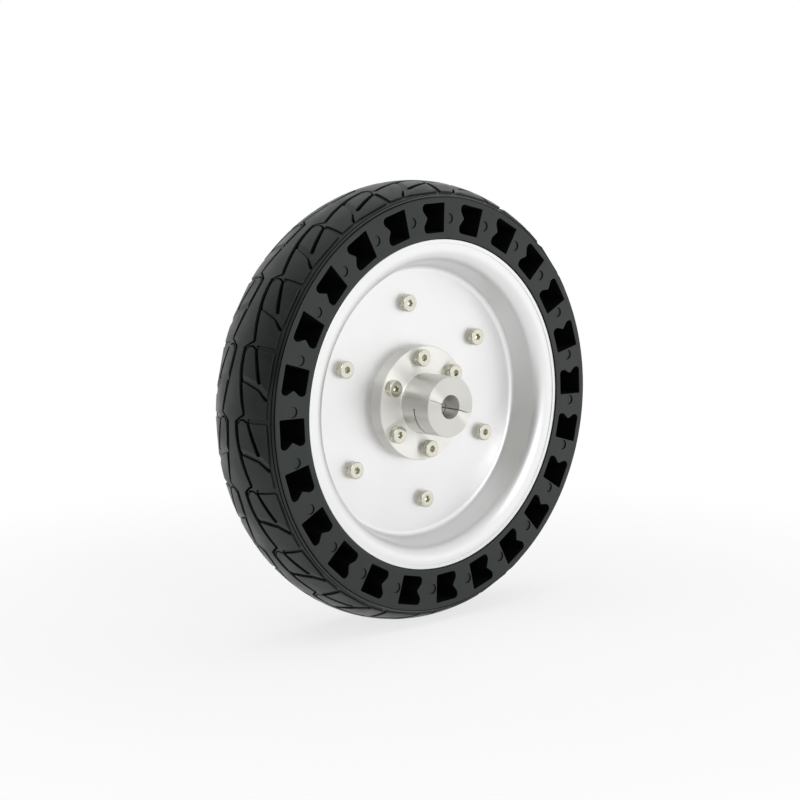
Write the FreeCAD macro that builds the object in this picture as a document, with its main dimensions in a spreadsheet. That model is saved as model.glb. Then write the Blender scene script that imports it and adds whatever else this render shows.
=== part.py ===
import FreeCAD, Part
import math
import os
import Sketcher

# Airless wheel: a solid rubber tyre with honeycomb openings, held between two dished rim halves
# that are screwed to a split clamp hub. Millimetres and degrees.
# The axle lies along Y, the hub points to -Y, Z is up, and the origin is the wheel's centre.
# Angles go anticlockwise as seen from the hub's side, from +X.

Vector = FreeCAD.Vector
# Angle of the wheel's top
TOP_ANGLE = 90
# Points of a sketch's edge, and the sketch's origin as a point of its first axis
START, END, CENTRE = 1, 2, 3
ORIGIN = (-1, START)

SIZES = {
    # Whole wheel
    "tyre_radius": 109.6,
    "tyre_width": 45.6,
    # Tyre, inward from the tread
    "tyre_turn": 13.5,
    "crown_arc_radius": 40.3,
    "crown_height": 8.2,
    "shoulder_width": 1.8,
    "opening_cover": 2.3,
    "bead_wall": 3.4,
    "bead_clearance": 0.15,
    "base_rise": 1.94,
    "sidewall_proud": 0.9,
    # Honeycomb openings
    "opening_count": 24,
    "opening_height": 14.2,
    "opening_angle": 8.3,
    "lobe_width": 3.4,
    "notch_angle": 1.6,
    "lobe_round": 2.0,
    "notch_round": 1.0,
    # Tread grooves
    "tread_repeats": 20,
    "tread_turn": 2.0,
    "groove_depth": 2.5,
    "groove_width": 1.9,
    "groove_curve_radius": 145.0,
    "groove_start_angle": 2.0,
    "groove_overlap_angle": 0.1,
    "rib_half_width": 2.4,
    "hook_offset": 8.6,
    "hook_link_angle": 0.9,
    "diagonal_width": 1.8,
    "diagonal_start_angle": 1.4,
    "diagonal_end_angle": 10.3,
    "diagonal_slant_angle": 0.8,
    "diagonal_inner_offset": 10.3,
    "diagonal_outer_offset": 14.7,
    # Rim halves, inward from the lip
    "rim_turn": 6.5,
    "lip_thickness": 2.6,
    "lip_band_width": 2.0,
    "lip_step": 0.4,
    "lip_step_width": 2.4,
    "lip_step_flat": 0.1,
    "dish_wall_run": 9.1,
    "dish_fillet": 2.0,
    "disc_thickness": 3.15,
    "wall_thickness": 2.8,
    # Hub
    "bore_radius": 6.0,
    "neck_radius": 15.0,
    "neck_length": 19.35,
    "flange_width": 13.5,
    "flange_thickness": 7.12,
    "spigot_radius": 10.0,
    "spigot_clearance": 0.1,
    "spigot_setback": 0.3,
    "hub_chamfer": 0.3,
    "neck_fillet": 0.6,
    "slit_turn": 334.7,
    "slit_width": 0.5,
    "slit_depth": 14.0,
    "hinge_groove_depth": 1.2,
    "clamp_length": 9.4,
    "relief_angle": 20.8,
    "relief_width": 1.0,
    "clamp_seat_depth": 4.5,
    # Screws and nuts
    "screw_count": 6,
    "rim_screw_edge": 18.0,
    "hub_screw_edge": 5.4,
    "screw_radius": 2.5,
    "screw_head_radius": 4.25,
    "screw_head_height": 3.5,
    "socket_flats": 3.0,
    "socket_depth": 2.3,
    "hole_clearance": 0.2,
    "nut_flats": 8.0,
    "nut_height": 4.0,
    "nut_thread_clearance": 0.05,
    "screw_tip_beyond_nut": 0.8,
    "clamp_screw_radius": 2.0,
    "clamp_screw_head_radius": 3.5,
    "clamp_screw_head_height": 4.0,
    "clamp_screw_length": 12.0,
    "clamp_socket_flats": 3.0,
    "clamp_socket_depth": 2.0,
    "clamp_head_clearance": 0.25,
}

doc = FreeCAD.newDocument("airless_wheel")
sheet = doc.addObject("Spreadsheet::Sheet", "Sizes")
for row, (name, size) in enumerate(SIZES.items(), start=1):
    sheet.set(f"A{row}", name)
    sheet.set(f"B{row}", str(size))
    sheet.setAlias(f"B{row}", name)
doc.recompute()


# Expressions shared by pieces that fit together
def number(expression):
    """The present value of an expression."""
    result = sheet.evalExpression(expression)
    return float(getattr(result, "Value", result))


TYRE_HALF_WIDTH = "(Sizes.tyre_width / 2)"
TREAD_HALF_WIDTH = f"({TYRE_HALF_WIDTH} - Sizes.shoulder_width)"
SIDEWALL_RADIUS = "(Sizes.tyre_radius - Sizes.crown_height)"
OPENING_OUTER = f"({SIDEWALL_RADIUS} - Sizes.opening_cover)"
OPENING_INNER = f"({OPENING_OUTER} - Sizes.opening_height)"
LIP_RADIUS = f"({OPENING_INNER} - Sizes.bead_wall)"
RIM_HALF_WIDTH = f"({TYRE_HALF_WIDTH} - Sizes.sidewall_proud)"
LIP_BACK = f"({RIM_HALF_WIDTH} - Sizes.lip_thickness)"
MOUTH_RADIUS = f"({LIP_RADIUS} - Sizes.lip_band_width - Sizes.lip_step_width)"
DISC_RADIUS = f"({MOUTH_RADIUS} - Sizes.dish_wall_run)"
DISH_DEPTH = f"({RIM_HALF_WIDTH} - Sizes.lip_step - Sizes.disc_thickness)"
WALL_SLOPE = f"(Sizes.dish_wall_run / {DISH_DEPTH})"
WALL_ACROSS = f"(Sizes.wall_thickness * sqrt(1 + {WALL_SLOPE}^2))"
MOUTH_TURN = f"(90 deg - atan({WALL_SLOPE}))"
MOUTH_ROUND = f"((Sizes.lip_step_width - Sizes.lip_step_flat) / tan({MOUTH_TURN} / 2))"
RIM_SCREW_CIRCLE = f"({DISC_RADIUS} - Sizes.rim_screw_edge)"
TREAD_PITCH = "(360 / Sizes.tread_repeats)"
FLANGE_RADIUS = "(Sizes.neck_radius + Sizes.flange_width)"
HUB_SCREW_CIRCLE = f"({FLANGE_RADIUS} - Sizes.hub_screw_edge)"
FLANGE_FACE = "(Sizes.disc_thickness + Sizes.flange_thickness)"
NECK_FACE = f"({FLANGE_FACE} + Sizes.neck_length)"
SCREW_HOLE = "(Sizes.screw_radius + Sizes.hole_clearance)"
CLAMP_OFFSET = "((Sizes.bore_radius + Sizes.neck_radius) / 2)"


def rim_outer_radius(y):
    """Radius of the rim's outer wall at the distance y from the mid-plane."""
    return f"({DISC_RADIUS} + {WALL_ACROSS} + ({y} - Sizes.disc_thickness) * {WALL_SLOPE})"


def crown_radius(offset):
    """Radius of the tyre's crown at an offset from the mid-plane."""
    return f"(Sizes.tyre_radius - Sizes.crown_arc_radius + sqrt(Sizes.crown_arc_radius^2 - {offset}^2))"


# Helpers for bodies and sketches
def new_body(name):
    return doc.addObject("PartDesign::Body", name)


def new_sketch(body, name, role, lift="0", turn="0", turn_axis=Vector(0, 0, 1)):
    """A sketch on one of the body's origin planes, lifted along the plane's normal and turned."""
    sketch = body.newObject("Sketcher::SketchObject", name)
    plane = [item for item in body.Origin.OriginFeatures if item.Role == role][0]
    sketch.AttachmentSupport = [(plane, "")]
    sketch.MapMode = "FlatFace"
    rotation = FreeCAD.Rotation(turn_axis, 1.0)
    sketch.AttachmentOffset = FreeCAD.Placement(Vector(0, 0, 0), rotation)
    sketch.setExpression("AttachmentOffset.Base.z", lift)
    sketch.setExpression("AttachmentOffset.Rotation.Angle", turn)
    return sketch


def bind(sketch, name, expression, *constraint):
    """Adds a named dimension whose value follows an expression."""
    index = sketch.addConstraint(Sketcher.Constraint(*constraint, number(expression)))
    sketch.renameConstraint(index, name)
    sketch.setExpression(f"Constraints.{name}", expression)


def place_point(sketch, edge, end, x, y):
    """Fixes one end of an edge at x, y from the sketch's origin."""
    bind(sketch, f"across_{edge}", x, "DistanceX", *ORIGIN, edge, end)
    bind(sketch, f"along_{edge}", y, "DistanceY", *ORIGIN, edge, end)


def add_arc(sketch, start, end, radius, side):
    """An arc that bulges right (1) or left (-1) of the way; returns its ends that are start and end."""
    size = number(radius)
    chord = end - start
    to_right = Vector(chord.y, -chord.x, 0).normalize() * side
    centre = (start + end) / 2 - to_right * math.sqrt(size ** 2 - (chord.Length / 2) ** 2)
    first, last = (start, end) if side > 0 else (end, start)
    angles = [math.atan2(point.y - centre.y, point.x - centre.x) for point in (first, last)]
    circle = Part.Circle(centre, Vector(0, 0, 1), size)
    edge = sketch.addGeometry(Part.ArcOfCircle(circle, *angles), False)
    bind(sketch, f"radius_{edge}", radius, "Radius", edge)
    return (START, END) if side > 0 else (END, START)


def add_outline(sketch, corners, arcs=None, rounds=None):
    """A closed outline through corners of two expressions.

    arcs gives radius and side by edge number, and rounds a rounding radius by corner number.
    """
    arcs = arcs or {}
    points = [Vector(number(x), number(y), 0) for x, y in corners]
    first = sketch.GeometryCount
    ends = []
    for index, start in enumerate(points):
        end = points[(index + 1) % len(points)]
        if index in arcs:
            ends.append(add_arc(sketch, start, end, *arcs[index]))
        else:
            sketch.addGeometry(Part.LineSegment(start, end), False)
            ends.append((START, END))
    for index, (_, last) in enumerate(ends):
        after = (index + 1) % len(points)
        joined = Sketcher.Constraint("Coincident", first + index, last, first + after, ends[after][0])
        sketch.addConstraint(joined)
    for index, (x, y) in enumerate(corners):
        place_point(sketch, first + index, ends[index][0], x, y)
    for corner, radius in (rounds or {}).items():
        edge = sketch.GeometryCount
        sketch.fillet(first + corner - 1, END, number(radius), True, True)
        bind(sketch, f"radius_{edge}", radius, "Radius", edge)


def add_circle(sketch, x, y, radius):
    circle = Part.Circle(Vector(number(x), number(y), 0), Vector(0, 0, 1), number(radius))
    edge = sketch.addGeometry(circle, False)
    place_point(sketch, edge, CENTRE, x, y)
    bind(sketch, f"radius_{edge}", radius, "Radius", edge)


def add_hexagon(sketch, x, y, flats):
    """A hexagon with two corners level with its centre."""
    corner = f"({flats} / sqrt(3))"
    corners = [(f"{x} + {corner} * cos({60 * k})", f"{y} + {corner} * sin({60 * k})") for k in range(6)]
    add_outline(sketch, corners)


def revolve(body, sketch):
    """Turns a sketch about its own vertical axis."""
    feature = body.newObject("PartDesign::Revolution", "turned")
    feature.Profile = sketch
    feature.ReferenceAxis = (sketch, ["V_Axis"])
    feature.Angle = 360
    doc.recompute()
    return feature


def cut(body, sketch, depth=None):
    """Cuts a sketch into the body: right through both ways, or to a depth behind its plane."""
    before = body.Shape.Volume
    feature = body.newObject("PartDesign::Pocket", "cut")
    feature.Profile = sketch
    if depth is None:
        feature.SideType = "Symmetric"
        feature.Type = "ThroughAll"
    else:
        feature.Type = "Length"
        feature.setExpression("Length", depth)
    doc.recompute()
    if body.Shape.Volume >= before:
        raise RuntimeError(f"{sketch.Name} cuts nothing from {body.Name}")
    return feature


def repeat_round(body, features, sketch, count):
    """Repeats features round the axis that stands on the sketch's plane."""
    feature = body.newObject("PartDesign::PolarPattern", "round")
    feature.Originals = features
    feature.Axis = (sketch, ["N_Axis"])
    feature.Angle = 360
    feature.setExpression("Occurrences", count)
    body.Tip = feature
    doc.recompute()
    return feature


def dress(body, kind, wanted, size):
    """A fillet or chamfer on the edges that the test accepts."""
    base = body.Tip
    names = [f"Edge{k}" for k, edge in enumerate(base.Shape.Edges, start=1) if wanted(edge)]
    feature = body.newObject(f"PartDesign::{kind}", kind.lower())
    feature.Base = (base, names)
    feature.setExpression("Radius" if kind == "Fillet" else "Size", size)
    body.Tip = feature
    doc.recompute()
    if "Invalid" in feature.State:
        raise RuntimeError(f"{feature.Name} of {body.Name} failed")
    return feature


def rim_edge(radius, y):
    """Test for a round edge about the axle with this radius, at this place along it."""

    def test(edge):
        if not isinstance(edge.Curve, Part.Circle):
            return False
        on_axle = edge.Curve.Center.isEqual(Vector(0, number(y), 0), Part.Precision.approximation())
        return on_axle and abs(edge.Curve.Radius - number(radius)) < Part.Precision.approximation()

    return test


def turned_about_axle(turn):
    """Placement of a piece that is turned anticlockwise about the axle."""
    return FreeCAD.Placement(Vector(0, 0, 0), FreeCAD.Rotation(Vector(0, -1, 0), number(turn)))


RIM_PLACE = turned_about_axle("Sizes.rim_turn")
pieces = []


def finish(item, label, placement):
    item.Label = label
    item.Placement = placement
    pieces.append(item)


# Rim halves: a flat disc, a sloping dish wall and a stepped lip, turned as one profile
def rim_half(label, placement):
    body = new_body(label)
    hole = "(Sizes.spigot_radius + Sizes.spigot_clearance)"
    step = f"({RIM_HALF_WIDTH} - Sizes.lip_step)"
    band = f"({LIP_RADIUS} - Sizes.lip_band_width)"
    profile = new_sketch(body, "rim_profile", "XY_Plane")
    add_outline(profile, [
        (hole, "0"),
        (rim_outer_radius("0"), "0"),
        (rim_outer_radius(LIP_BACK), LIP_BACK),
        (LIP_RADIUS, LIP_BACK),
        (LIP_RADIUS, RIM_HALF_WIDTH),
        (band, RIM_HALF_WIDTH),
        (band, step),
        (MOUTH_RADIUS, step),
        (DISC_RADIUS, "Sizes.disc_thickness"),
        (hole, "Sizes.disc_thickness"),
    ])
    revolve(body, profile)
    dress(body, "Fillet", rim_edge(DISC_RADIUS, "Sizes.disc_thickness"), "Sizes.dish_fillet")
    dress(body, "Fillet", rim_edge(MOUTH_RADIUS, step), MOUTH_ROUND)
    holes = new_sketch(body, "screw_holes", "XZ_Plane")
    add_circle(holes, "0", RIM_SCREW_CIRCLE, SCREW_HOLE)
    add_circle(holes, "0", HUB_SCREW_CIRCLE, SCREW_HOLE)
    repeat_round(body, [cut(body, holes)], holes, "Sizes.screw_count")
    finish(body, label, placement)


rim_half("rim_back_half", RIM_PLACE)
HALF_TURN = FreeCAD.Placement(Vector(0, 0, 0), FreeCAD.Rotation(Vector(0, 0, 1), 180))
rim_half("rim_front_half", RIM_PLACE.multiply(HALF_TURN))


# Hub: flange, clamp neck and centring spigot in one. A slit beside the bore and a relief cut across the
# neck's lower half free the clamp jaw, which bends at the shallow groove on the other side
def hub():
    body = new_body("hub")
    spigot_end = "(Sizes.disc_thickness - Sizes.spigot_setback)"
    profile = new_sketch(body, "hub_profile", "XY_Plane")
    add_outline(profile, [
        ("Sizes.bore_radius", spigot_end),
        ("Sizes.bore_radius", f"-{NECK_FACE}"),
        ("Sizes.neck_radius", f"-{NECK_FACE}"),
        ("Sizes.neck_radius", f"-{FLANGE_FACE}"),
        (FLANGE_RADIUS, f"-{FLANGE_FACE}"),
        (FLANGE_RADIUS, "-Sizes.disc_thickness"),
        ("Sizes.spigot_radius", "-Sizes.disc_thickness"),
        ("Sizes.spigot_radius", spigot_end),
    ])
    revolve(body, profile)
    for radius, y in ((FLANGE_RADIUS, FLANGE_FACE), ("Sizes.neck_radius", NECK_FACE)):
        dress(body, "Chamfer", rim_edge(radius, f"-{y}"), "Sizes.hub_chamfer")
    dress(body, "Fillet", rim_edge("Sizes.neck_radius", f"-{FLANGE_FACE}"), "Sizes.neck_fillet")
    holes = new_sketch(body, "flange_holes", "XZ_Plane")
    add_circle(holes, "0", HUB_SCREW_CIRCLE, SCREW_HOLE)
    repeat_round(body, [cut(body, holes)], holes, "Sizes.screw_count")
    past_neck = "(Sizes.neck_radius + Sizes.slit_width)"
    for name, end, depth in (
            ("slit", past_neck, "Sizes.slit_depth"),
            ("hinge_groove", f"-{past_neck}", "Sizes.hinge_groove_depth")):
        sketch = new_sketch(body, name, "XZ_Plane", NECK_FACE, "Sizes.slit_turn")
        add_outline(sketch, [
            ("0", "-Sizes.slit_width / 2"),
            (end, "-Sizes.slit_width / 2"),
            (end, "Sizes.slit_width / 2"),
            ("0", "Sizes.slit_width / 2"),
        ])
        cut(body, sketch, depth)
    relief_lift = f"({NECK_FACE} - Sizes.clamp_length)"
    relief = new_sketch(body, "relief", "XZ_Plane", relief_lift, "Sizes.slit_turn + Sizes.relief_angle")
    add_outline(relief, [
        (f"-{past_neck}", f"-{past_neck}"),
        (past_neck, f"-{past_neck}"),
        (past_neck, "0"),
        (f"-{past_neck}", "0"),
    ])
    cut(body, relief, "Sizes.relief_width")
    across = {"role": "XY_Plane", "turn": "-Sizes.slit_turn", "turn_axis": Vector(0, 1, 0)}
    clamp_middle = f"(-{NECK_FACE} + Sizes.clamp_length / 2)"
    hole = new_sketch(body, "clamp_hole", **across)
    add_circle(hole, CLAMP_OFFSET, clamp_middle, "(Sizes.clamp_screw_radius + Sizes.hole_clearance)")
    cut(body, hole)
    seat = new_sketch(body, "clamp_seat", **across)
    seat.setExpression("AttachmentOffset.Base.z", "-Sizes.clamp_seat_depth * cos(Sizes.slit_turn)")
    seat.setExpression("AttachmentOffset.Base.x", "Sizes.clamp_seat_depth * sin(Sizes.slit_turn)")
    seat_radius = "(Sizes.clamp_screw_head_radius + Sizes.clamp_head_clearance)"
    add_circle(seat, CLAMP_OFFSET, clamp_middle, seat_radius)
    cut(body, seat, "Sizes.neck_radius")
    finish(body, "hub", RIM_PLACE)


hub()


# Screws and nuts
def screw(body, lift, seat, length, size):
    """A socket-head screw along Y with its head on the -Y side; size names its set of sizes."""
    profile = new_sketch(body, "screw_profile", "XY_Plane", lift)
    head_top = f"({seat} - {size['head_height']})"
    add_outline(profile, [
        ("0", head_top),
        (size["head_radius"], head_top),
        (size["head_radius"], seat),
        (size["radius"], seat),
        (size["radius"], f"({seat} + {length})"),
        ("0", f"({seat} + {length})"),
    ])
    shank = revolve(body, profile)
    socket = new_sketch(body, "socket", "XZ_Plane", f"-{head_top}")
    add_hexagon(socket, "0", lift, size["flats"])
    return [shank, cut(body, socket, size["depth"])], socket


SCREW = {
    "radius": "Sizes.screw_radius",
    "head_radius": "Sizes.screw_head_radius",
    "head_height": "Sizes.screw_head_height",
    "flats": "Sizes.socket_flats",
    "depth": "Sizes.socket_depth",
}
CLAMP_SCREW = {
    "radius": "Sizes.clamp_screw_radius",
    "head_radius": "Sizes.clamp_screw_head_radius",
    "head_height": "Sizes.clamp_screw_head_height",
    "flats": "Sizes.clamp_socket_flats",
    "depth": "Sizes.clamp_socket_depth",
}


def screw_ring(name, circle, seat):
    """A ring of screws through both discs, and their nuts on the back disc."""
    screws = new_body(f"{name}_screws")
    past_seat = "(Sizes.disc_thickness + Sizes.nut_height + Sizes.screw_tip_beyond_nut)"
    features, socket = screw(screws, circle, seat, f"({past_seat} - {seat})", SCREW)
    repeat_round(screws, features, socket, "Sizes.screw_count")
    finish(screws, f"{name}_screws", RIM_PLACE)
    nuts = new_body(f"{name}_nuts")
    outline = new_sketch(nuts, "nut_outline", "XZ_Plane", "-Sizes.disc_thickness")
    add_hexagon(outline, "0", circle, "Sizes.nut_flats")
    add_circle(outline, "0", circle, "(Sizes.screw_radius + Sizes.nut_thread_clearance)")
    nut = nuts.newObject("PartDesign::Pad", "nut")
    nut.Profile = outline
    nut.Reversed = True
    nut.setExpression("Length", "Sizes.nut_height")
    doc.recompute()
    repeat_round(nuts, [nut], outline, "Sizes.screw_count")
    finish(nuts, f"{name}_nuts", RIM_PLACE)


screw_ring("rim", RIM_SCREW_CIRCLE, "(-Sizes.disc_thickness)")
screw_ring("hub", HUB_SCREW_CIRCLE, f"(-{FLANGE_FACE})")


def clamp_screw():
    """The screw that closes the slit, beside the bore and square to the slit."""
    body = new_body("clamp_screw")
    screw(body, "0", "(-Sizes.clamp_seat_depth)", "Sizes.clamp_screw_length", CLAMP_SCREW)
    turn = math.radians(number("Sizes.slit_turn"))
    offset = number(CLAMP_OFFSET)
    middle = number(f"(-{NECK_FACE} + Sizes.clamp_length / 2)")
    place = Vector(offset * math.cos(turn), middle, offset * math.sin(turn))
    upright = FreeCAD.Rotation(Vector(0, 1, 0), Vector(-math.sin(turn), 0, math.cos(turn)))
    finish(body, "clamp_screw", RIM_PLACE.multiply(FreeCAD.Placement(place, upright)))


clamp_screw()


# Tyre: one section turned round the axle, pierced by the openings
def tyre_body():
    body = new_body("tyre_body")
    seat = f"({LIP_BACK} - Sizes.bead_clearance)"
    bead = f"({rim_outer_radius(seat)} + Sizes.bead_clearance)"
    base = f"({rim_outer_radius('0')} + Sizes.base_rise)"
    base_half = f"((Sizes.base_rise - Sizes.bead_clearance) / {WALL_SLOPE})"
    rebate = f"({LIP_RADIUS} + Sizes.bead_clearance)"
    half = [
        (base, base_half),
        (bead, seat),
        (rebate, seat),
        (rebate, TYRE_HALF_WIDTH),
        (SIDEWALL_RADIUS, TYRE_HALF_WIDTH),
        (crown_radius(TREAD_HALF_WIDTH), TREAD_HALF_WIDTH),
    ]
    other_half = [(radius, f"-{y}") for radius, y in half]
    profile = new_sketch(body, "tyre_section", "XY_Plane")
    corners = other_half + half[::-1]
    add_outline(profile, corners, {len(half) - 1: ("Sizes.crown_arc_radius", 1)})
    revolve(body, profile)
    openings(body)
    return body


def openings(body):
    """Openings with one radial side and two lobes with a notch between them."""
    sketch = new_sketch(body, "opening", "XZ_Plane")
    lobes = "Sizes.opening_angle"
    notch = "(Sizes.opening_angle - Sizes.notch_angle)"
    lobe_round = "Sizes.lobe_round"
    polar = [
        (OPENING_INNER, "0", None),
        (OPENING_OUTER, "0", None),
        (OPENING_OUTER, lobes, lobe_round),
        (f"({OPENING_OUTER} - Sizes.lobe_width)", lobes, lobe_round),
        (f"(({OPENING_INNER} + {OPENING_OUTER}) / 2)", notch, "Sizes.notch_round"),
        (f"({OPENING_INNER} + Sizes.lobe_width)", lobes, lobe_round),
        (OPENING_INNER, lobes, lobe_round),
    ]
    corners = [(f"{radius} * cos({turn})", f"{radius} * sin({turn})") for radius, turn, _ in polar]
    rounds = {index: rounding for index, (_, _, rounding) in enumerate(polar) if rounding}
    add_outline(sketch, corners, rounds=rounds)
    repeat_round(body, [cut(body, sketch)], sketch, "Sizes.opening_count")


# Tread grooves of one repeat on the hub's side, drawn on a plane above the crown's top
def tread_point(angle, offset):
    """Place on that plane of a crown point, by its angle in the repeat and its offset from the mid-plane."""
    return (f"({crown_radius(offset)} * sin({TREAD_PITCH} / 2 - {angle}))", f"(-{offset})")


def groove_prisms():
    """The hooked groove beside the middle rib and the diagonal groove, as upright prisms."""
    body = new_body("groove_prisms")
    sketch = new_sketch(body, "groove_outlines", "XY_Plane", "(Sizes.tyre_radius + Sizes.groove_depth)")
    start = "Sizes.groove_start_angle"
    end = f"({TREAD_PITCH} + Sizes.groove_overlap_angle)"
    half_link = "(Sizes.hook_link_angle / 2)"
    inner = "Sizes.rib_half_width"
    outer = "(Sizes.rib_half_width + Sizes.groove_width)"
    hook = "Sizes.hook_offset"
    hook_inner = "(Sizes.hook_offset - Sizes.groove_width)"
    curve = "Sizes.groove_curve_radius"
    add_outline(sketch, [
        tread_point(start, outer),
        tread_point(end, hook),
        tread_point(end, hook_inner),
        tread_point(start, inner),
        tread_point(f"(-{half_link})", hook_inner),
        tread_point("0", hook),
        tread_point(half_link, hook_inner),
    ], {0: (curve, 1), 2: (curve, -1)})
    near_end = "Sizes.diagonal_inner_offset"
    far_end = "Sizes.diagonal_outer_offset"
    half = "Sizes.diagonal_width / 2"
    add_outline(sketch, [
        tread_point("Sizes.diagonal_start_angle", f"({near_end} - {half})"),
        tread_point("(Sizes.diagonal_start_angle + Sizes.diagonal_slant_angle)", f"({near_end} + {half})"),
        tread_point("(Sizes.diagonal_end_angle - Sizes.diagonal_slant_angle)", f"({far_end} + {half})"),
        tread_point("Sizes.diagonal_end_angle", f"({far_end} - {half})"),
    ])
    prisms = body.newObject("PartDesign::Pad", "prisms")
    prisms.Profile = sketch
    prisms.Reversed = True
    edge_height = f"{crown_radius(TREAD_HALF_WIDTH)} * cos({TREAD_PITCH} / 2)"
    prisms.setExpression("Length", f"(Sizes.tyre_radius + 2 * Sizes.groove_depth - {edge_height})")
    return body


def groove_layer():
    """The layer of the tread that grooves are cut in: from their floor to past the crown."""
    body = new_body("groove_layer")
    sketch = new_sketch(body, "layer_section", "XY_Plane")
    floor_arc = "(Sizes.crown_arc_radius - Sizes.groove_depth)"
    floor = f"(Sizes.tyre_radius - Sizes.crown_arc_radius + sqrt({floor_arc}^2 - {TREAD_HALF_WIDTH}^2))"
    outside = "(Sizes.tyre_radius + Sizes.groove_depth)"
    add_outline(sketch, [
        (floor, f"-{TREAD_HALF_WIDTH}"),
        (floor, TREAD_HALF_WIDTH),
        (outside, TREAD_HALF_WIDTH),
        (outside, f"-{TREAD_HALF_WIDTH}"),
    ], {0: (floor_arc, 1)})
    revolve(body, sketch)
    return body


def tread_grooves():
    """All grooves, in sets whose members stay apart: even repeats, odd ones, and the last of an odd count."""
    one_side = doc.addObject("Part::Common", "grooves_front")
    one_side.Base = groove_prisms()
    one_side.Tool = groove_layer()
    other_side = doc.addObject("Part::Mirroring", "grooves_back")
    other_side.Source = one_side
    other_side.Normal = Vector(0, 1, 0)
    doc.recompute()
    repeats = int(number("Sizes.tread_repeats"))
    pitch = 360 / repeats
    first_turn = number("Sizes.tread_turn") + pitch / 2 - TOP_ANGLE
    sets = {}
    for k in range(repeats):
        turn = FreeCAD.Rotation(Vector(0, -1, 0), first_turn + k * pitch)
        last_of_odd = repeats % 2 == 1 and k == repeats - 1
        grooves = sets.setdefault("last" if last_of_odd else k % 2, [])
        for source in (one_side, other_side):
            groove = source.Shape.copy()
            groove.Placement = FreeCAD.Placement(Vector(0, 0, 0), turn).multiply(groove.Placement)
            grooves.extend(groove.Solids)
    return [Part.makeCompound(grooves) for grooves in sets.values()]


def tyre():
    item = tyre_body()
    for shape in tread_grooves():
        grooves = doc.addObject("Part::Feature", "groove_set")
        grooves.Shape = shape
        grooved = doc.addObject("Part::Cut", "tyre_grooved")
        grooved.Base = item
        grooved.Tool = grooves
        item = grooved
    finish(item, "tyre", turned_about_axle("Sizes.tyre_turn"))


tyre()


# Checks and files
def check_and_export():
    """Stops if any object failed, then writes each piece's shape."""
    failed = [item.Label for item in doc.Objects if "Invalid" in item.State or "Error" in item.State]
    if failed:
        raise RuntimeError(f"failed objects: {failed}")
    for piece in pieces:
        if piece.Shape.isNull() or not piece.Shape.isValid():
            raise RuntimeError(f"{piece.Label} has no valid shape")
    os.makedirs("parts", exist_ok=True)
    for piece in pieces:
        piece.Shape.exportStep(f"parts/{piece.Label}.step")
        print(piece.Label, len(piece.Shape.Solids), round(piece.Shape.Volume, 1))


doc.recompute()
check_and_export()
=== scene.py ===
import math

import bmesh
import bpy
from bpy.props import FloatProperty, FloatVectorProperty, PointerProperty
from mathutils import Matrix, Vector
from mathutils.geometry import area_tri, delaunay_2d_cdt, intersect_point_line


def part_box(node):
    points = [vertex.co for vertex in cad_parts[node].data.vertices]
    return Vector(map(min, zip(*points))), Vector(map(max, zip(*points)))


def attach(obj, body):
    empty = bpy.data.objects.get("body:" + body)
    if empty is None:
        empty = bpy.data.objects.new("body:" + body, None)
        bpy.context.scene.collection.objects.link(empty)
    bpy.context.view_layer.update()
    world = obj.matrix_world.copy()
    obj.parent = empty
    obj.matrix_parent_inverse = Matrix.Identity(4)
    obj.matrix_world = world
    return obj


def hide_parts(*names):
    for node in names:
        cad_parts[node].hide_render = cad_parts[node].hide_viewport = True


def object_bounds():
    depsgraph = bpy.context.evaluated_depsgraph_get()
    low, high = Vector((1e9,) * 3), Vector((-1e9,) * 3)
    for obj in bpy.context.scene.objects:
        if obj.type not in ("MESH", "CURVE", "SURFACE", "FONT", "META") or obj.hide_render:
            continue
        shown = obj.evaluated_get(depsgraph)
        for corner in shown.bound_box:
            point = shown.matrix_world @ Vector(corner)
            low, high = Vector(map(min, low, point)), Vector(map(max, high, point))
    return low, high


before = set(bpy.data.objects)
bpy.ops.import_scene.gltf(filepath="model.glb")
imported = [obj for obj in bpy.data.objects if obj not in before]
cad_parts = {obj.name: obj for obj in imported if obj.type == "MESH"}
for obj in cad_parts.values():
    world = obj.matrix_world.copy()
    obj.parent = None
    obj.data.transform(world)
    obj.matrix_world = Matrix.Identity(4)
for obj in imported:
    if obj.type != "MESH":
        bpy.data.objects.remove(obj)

bl_info = {
    "name": "Airless honeycomb wheel",
    "version": (1, 0, 0),
    "blender": (4, 5, 0),
    "location": "View3D > Sidebar > Wheel",
    "description": "Builds the visible pieces of an airless wheel round its packed CAD frame",
    "category": "Add Mesh",
}

# Shapes are worked out in millimetres, in the frame's axes: the axle lies along Y, the hub points
# to -Y and Z is up. Angles are in degrees, anticlockwise as seen from the hub's side, from +X.
MM = 0.001
CAD_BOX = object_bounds()
# The solid's mould marks stand this far over its sidewalls; here they are sunk instead
CAD_MARK_HEIGHT = 0.3 * MM


def linear(colour):
    """Linear red, green and blue of an sRGB hex colour."""
    shares = [int(colour[k:k + 2], 16) / 255 for k in (1, 3, 5)]
    return [share / 12.92 if share <= 0.04045 else ((share + 0.055) / 1.055) ** 2.4 for share in shares]


def reach(node, axis):
    """Highest coordinate of a CAD node along an axis, in metres."""
    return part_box(node)[1][axis]


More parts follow.
